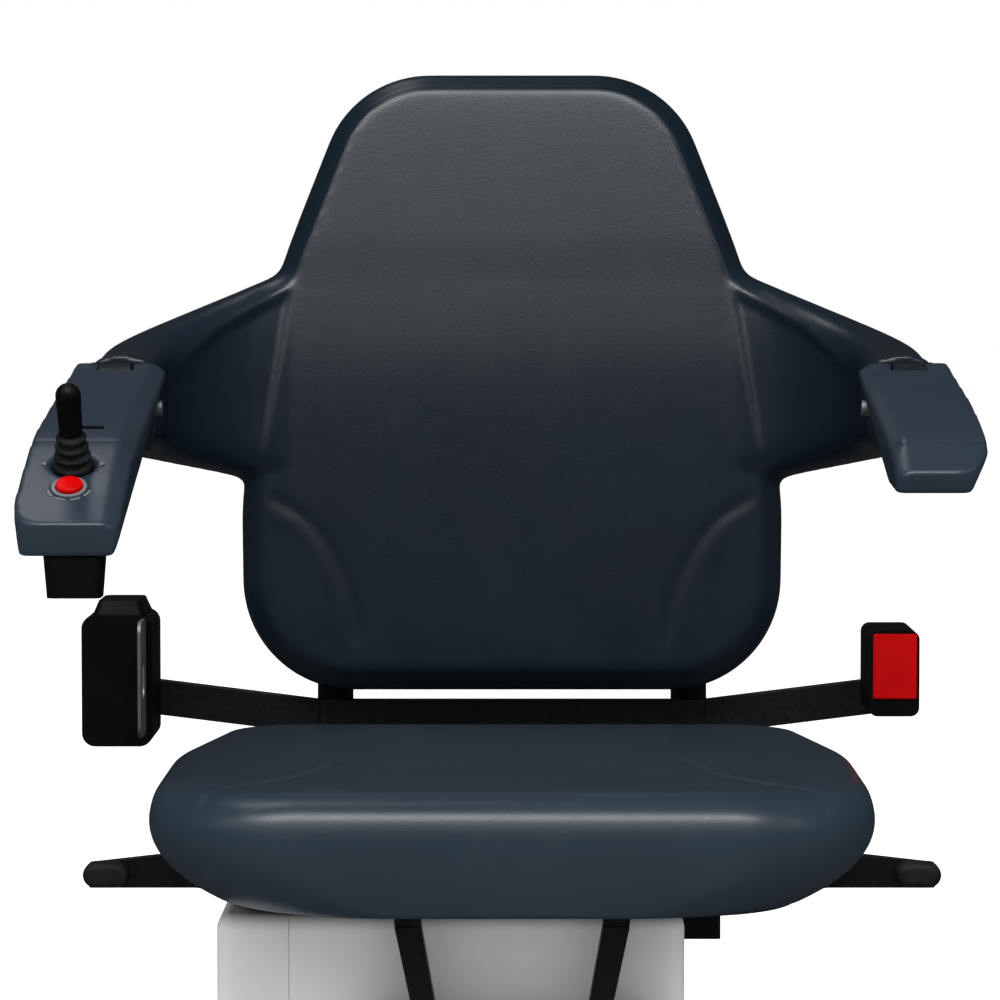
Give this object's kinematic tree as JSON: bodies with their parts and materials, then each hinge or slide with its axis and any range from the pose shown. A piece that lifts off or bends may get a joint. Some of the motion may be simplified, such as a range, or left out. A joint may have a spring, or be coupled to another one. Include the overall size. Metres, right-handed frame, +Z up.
{
  "type": "stairlift chair",
  "caption": "Stairlift chair with fold-up seat and armrests, joystick, retractable lap belt and lever-released swivel base.",
  "frame": {"origin": "centre of the mounting face, on the swivel axis", "axes": "+Z up along the swivel axis, the sitter faces -Y, +X on the belt buckle's side"},
  "size_m": [0.5764, 0.5797, 0.6789],
  "materials": {
    "moulded_pu": "satin",
    "cushion_skin": "satin",
    "arm_moulding": "satin",
    "steel_black": "satin",
    "steel_bright": "satin",
    "plastic_black": "matte",
    "plastic_pale": "satin",
    "rubber_black": "matte",
    "plastic_red": "gloss",
    "webbing": "matte",
    "board": "matte"
  },
  "bodies": {
    "base": {"base_plate": "steel_black", "pedestal_tube": "steel_black", "pedestal_gussets": "steel_black", "index_plate": "steel_black", "swivel_axle": "steel_bright", "thrust_ring": "plastic_black", "axle_washer": "steel_bright", "axle_nut": "steel_bright"},
    "turntable": {"turntable_plate": "steel_black", "side_rail_left": "steel_black", "side_rail_right": "steel_black", "front_crossmember": "steel_black", "rear_crossmember": "steel_black", "mechanism_cover": "plastic_pale", "cover_end_cap": "plastic_pale", "post_sockets": "steel_black", "back_post_left": "steel_black", "back_post_right": "steel_black", "back_plate": "steel_black", "back_cover": "plastic_black", "backrest_pad": "moulded_pu", "arm_hinge_left": "steel_black", "arm_hinge_right": "steel_black", "arm_pins": "steel_bright", "belt_crossbar": "steel_black", "belt_arm_left": "steel_black", "belt_arm_right": "steel_black", "post_saddles": "steel_black", "reel_housing": "plastic_black", "reel_cap": "plastic_black", "buckle_housing": "plastic_black", "seat_hinge_brackets": "steel_black", "seat_hinge_pins": "steel_bright", "seat_rest_left": "steel_black", "seat_rest_right": "steel_black", "rest_pads": "rubber_black", "lever_bearings": "steel_black", "latch_guide": "steel_black"},
    "seat": {"seat_cushion": "cushion_skin", "seat_pan": "board", "seat_hinge_leaves": "steel_black"},
    "arm_left": {"armrest_left": "arm_moulding", "control_box": "plastic_black", "stop_button_bezel": "plastic_black"},
    "arm_right": {"armrest_right": "arm_moulding"},
    "joystick": {"joystick_boot": "rubber_black", "joystick_stem": "steel_black", "joystick_knob": "plastic_black"},
    "stop_button": {"stop_button": "plastic_red"},
    "swivel_lever": {"lever_shaft": "steel_bright", "latch_fork": "steel_black", "lever_arm_left": "steel_black", "lever_arm_right": "steel_black", "lever_grip_left": "rubber_black", "lever_grip_right": "rubber_black"},
    "latch_pin": {"latch_pin": "steel_bright"},
    "buckle_button": {"buckle_button": "plastic_red"},
    "belt_tongue": {"belt_strap": "webbing", "belt_tongue": "steel_bright"}
  },
  "joints": [
    {"name": "seat_swivel", "type": "hinge", "parent": "base", "child": "turntable", "pos_m": [0, 0, 0.072], "axis": [0, 0, 1], "range_deg": [-90, 90]},
    {"name": "seat_fold", "type": "hinge", "parent": "turntable", "child": "seat", "pos_m": [0, 0.112, 0.151], "axis": [-1, 0, 0], "range_deg": [0, 78]},
    {"name": "arm_left_fold", "type": "hinge", "parent": "turntable", "child": "arm_left", "pos_m": [-0.252, 0.022, 0.457], "axis": [-1, 0, 0], "range_deg": [0, 90]},
    {"name": "arm_right_fold", "type": "hinge", "parent": "turntable", "child": "arm_right", "pos_m": [0.252, 0.022, 0.457], "axis": [-1, 0, 0], "range_deg": [0, 90]},
    {"name": "joystick_tilt", "type": "hinge", "parent": "arm_left", "child": "joystick", "pos_m": [-0.26, -0.166, 0.4304], "axis": [0, 0.8575, 0.5145], "range_deg": [-15, 15], "stiffness_Nm_per_rad": 0.4},
    {"name": "stop_press", "type": "slide", "parent": "arm_left", "child": "stop_button", "axis": [0, 0.5145, -0.8575], "range_m": [0, 0.003], "stiffness_N_per_m": 600, "springref_m": -0.002},
    {"name": "lever_press", "type": "hinge", "parent": "turntable", "child": "swivel_lever", "pos_m": [0, 0.037, 0.14], "axis": [1, 0, 0], "range_deg": [0, 15], "stiffness_Nm_per_rad": 2.5, "springref_deg": -20.05},
    {"name": "latch_lift", "type": "slide", "parent": "turntable", "child": "latch_pin", "axis": [0, 0, 1], "range_m": [0, 0.007]},
    {"name": "buckle_press", "type": "slide", "parent": "turntable", "child": "buckle_button", "axis": [0, 1, 0], "range_m": [0, 0.0045], "stiffness_N_per_m": 700, "springref_m": -0.002},
    {"name": "belt_pull", "type": "slide", "parent": "turntable", "child": "belt_tongue", "axis": [0, -1, 0], "range_m": [0, 0.05], "stiffness_N_per_m": 30, "springref_m": -0.15}
  ],
  "couplings": [
    {"joint": "latch_lift", "follows": "lever_press", "m_per_rad": 0.025}
  ]
}
